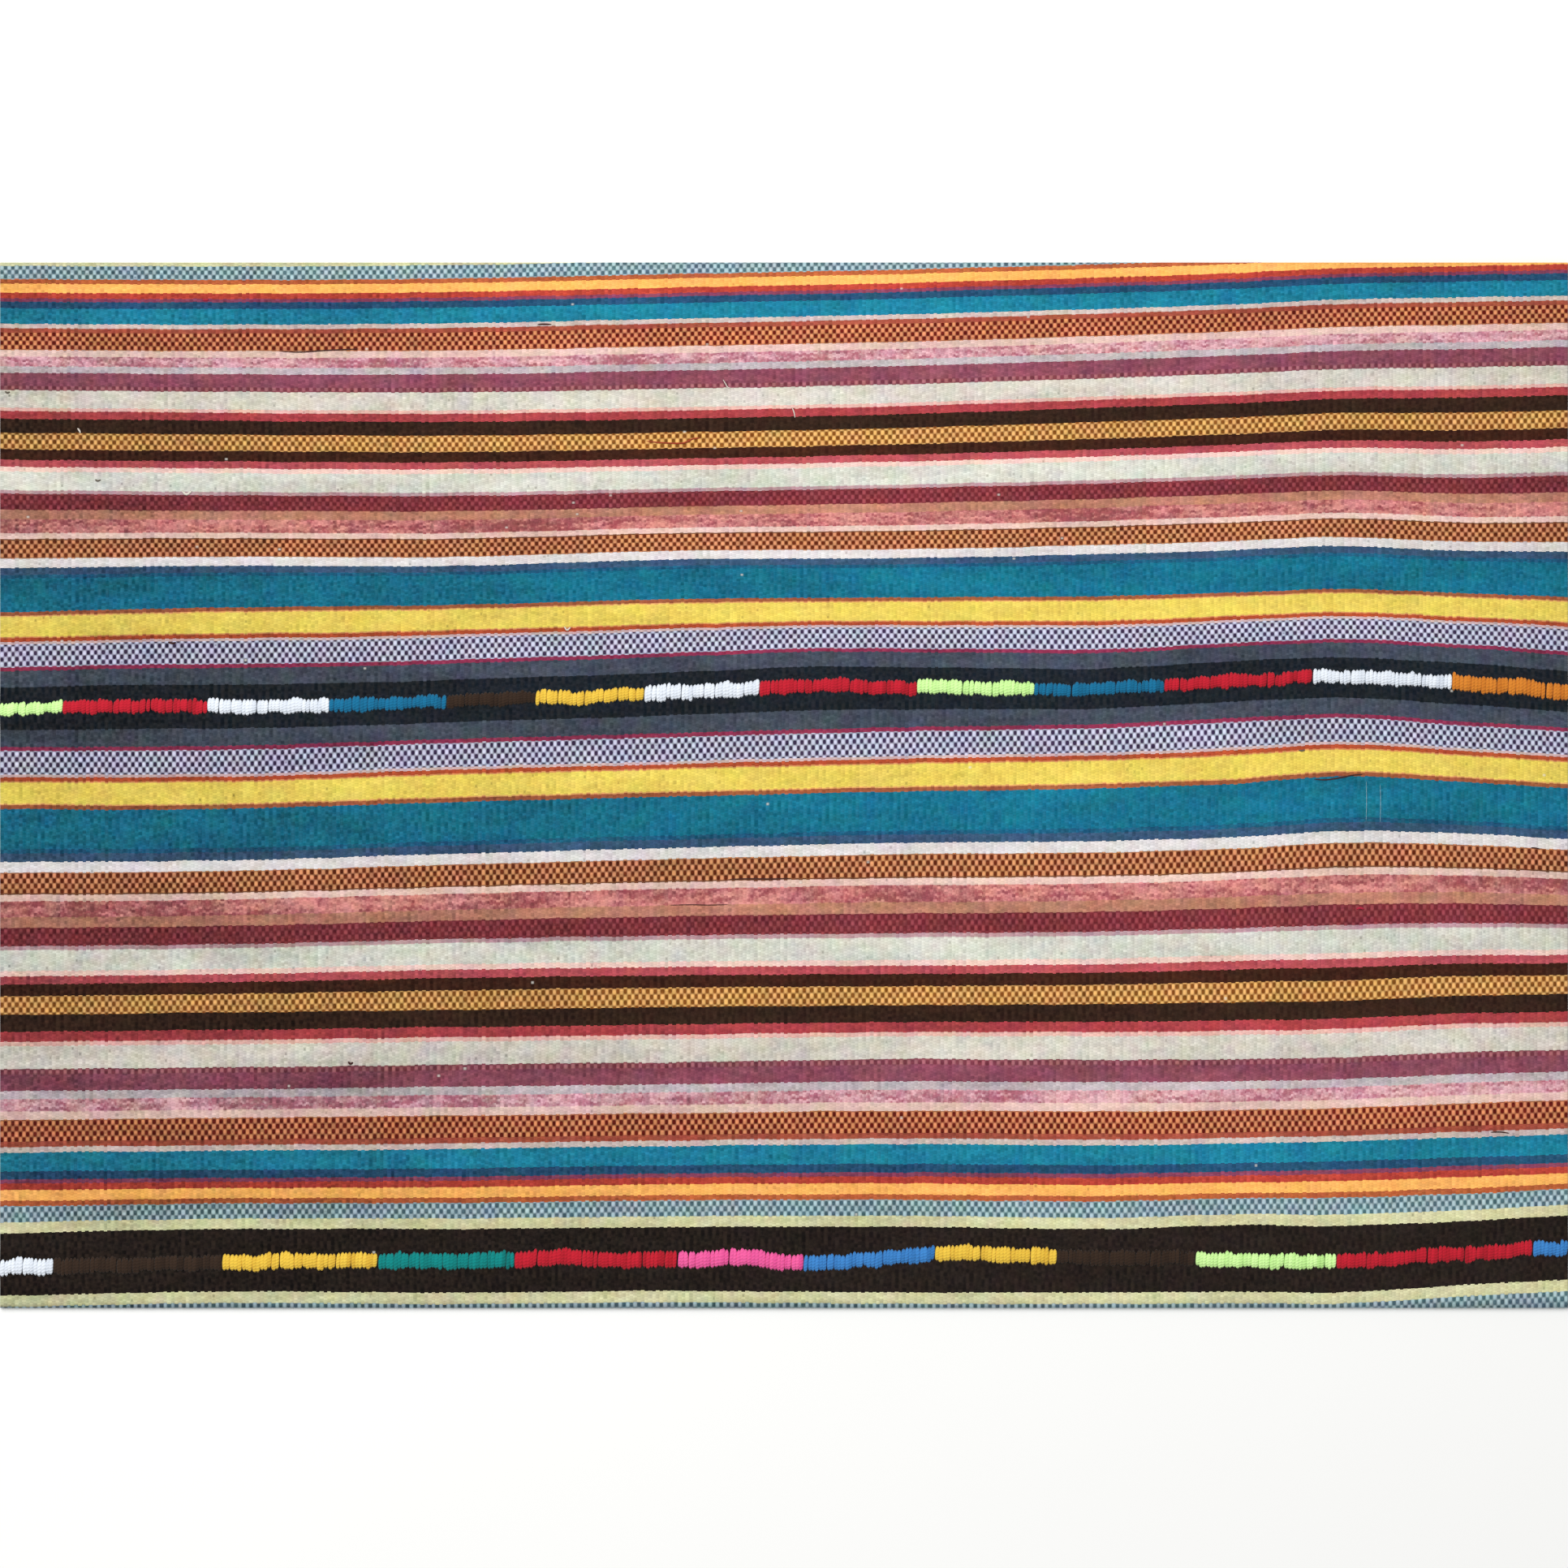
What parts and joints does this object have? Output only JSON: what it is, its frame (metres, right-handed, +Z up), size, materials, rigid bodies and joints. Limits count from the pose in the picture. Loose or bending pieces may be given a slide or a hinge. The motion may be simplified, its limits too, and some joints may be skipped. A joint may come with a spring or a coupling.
{
  "type": "striped wool flatweave rug, cut length",
  "caption": "Cut length of a striped warp-faced wool flatweave, made of strips sewn edge to edge with bars of coloured satin stitch over the seams, lying flat.",
  "frame": {"origin": "on the floor, under the middle of the cloth", "axes": "+X along the stripes and warps, +Y across them, +Z up from the floor"},
  "size_m": [0.966, 0.644, 0.0089],
  "materials": {
    "striped_wool": "matte",
    "yarn_lime": "matte",
    "yarn_red": "matte",
    "yarn_white": "matte",
    "yarn_blue": "matte",
    "yarn_brown": "matte",
    "yarn_yellow": "matte",
    "yarn_green": "matte",
    "yarn_pink": "matte",
    "yarn_cornflower": "matte",
    "yarn_orange": "matte"
  },
  "bodies": {
    "root": {"upper_strip": "striped_wool", "middle_strip": "striped_wool", "lower_strip": "striped_wool", "upper_seam_01_lime": "yarn_lime", "upper_seam_02_red": "yarn_red", "upper_seam_03_white": "yarn_white", "upper_seam_04_blue": "yarn_blue", "upper_seam_05_brown": "yarn_brown", "upper_seam_06_yellow": "yarn_yellow", "upper_seam_07_white": "yarn_white", "upper_seam_08_red": "yarn_red", "upper_seam_09_lime": "yarn_lime", "upper_seam_10_blue": "yarn_blue", "upper_seam_11_red": "yarn_red", "upper_seam_12_white": "yarn_white", "upper_seam_13_orange": "yarn_orange", "lower_seam_01_white": "yarn_white", "lower_seam_02_brown": "yarn_brown", "lower_seam_03_yellow": "yarn_yellow", "lower_seam_04_green": "yarn_green", "lower_seam_05_red": "yarn_red", "lower_seam_06_pink": "yarn_pink", "lower_seam_07_cornflower": "yarn_cornflower", "lower_seam_08_yellow": "yarn_yellow", "lower_seam_09_brown": "yarn_brown", "lower_seam_10_lime": "yarn_lime", "lower_seam_11_red": "yarn_red", "lower_seam_12_cornflower": "yarn_cornflower"}
  },
  "joints": []
}
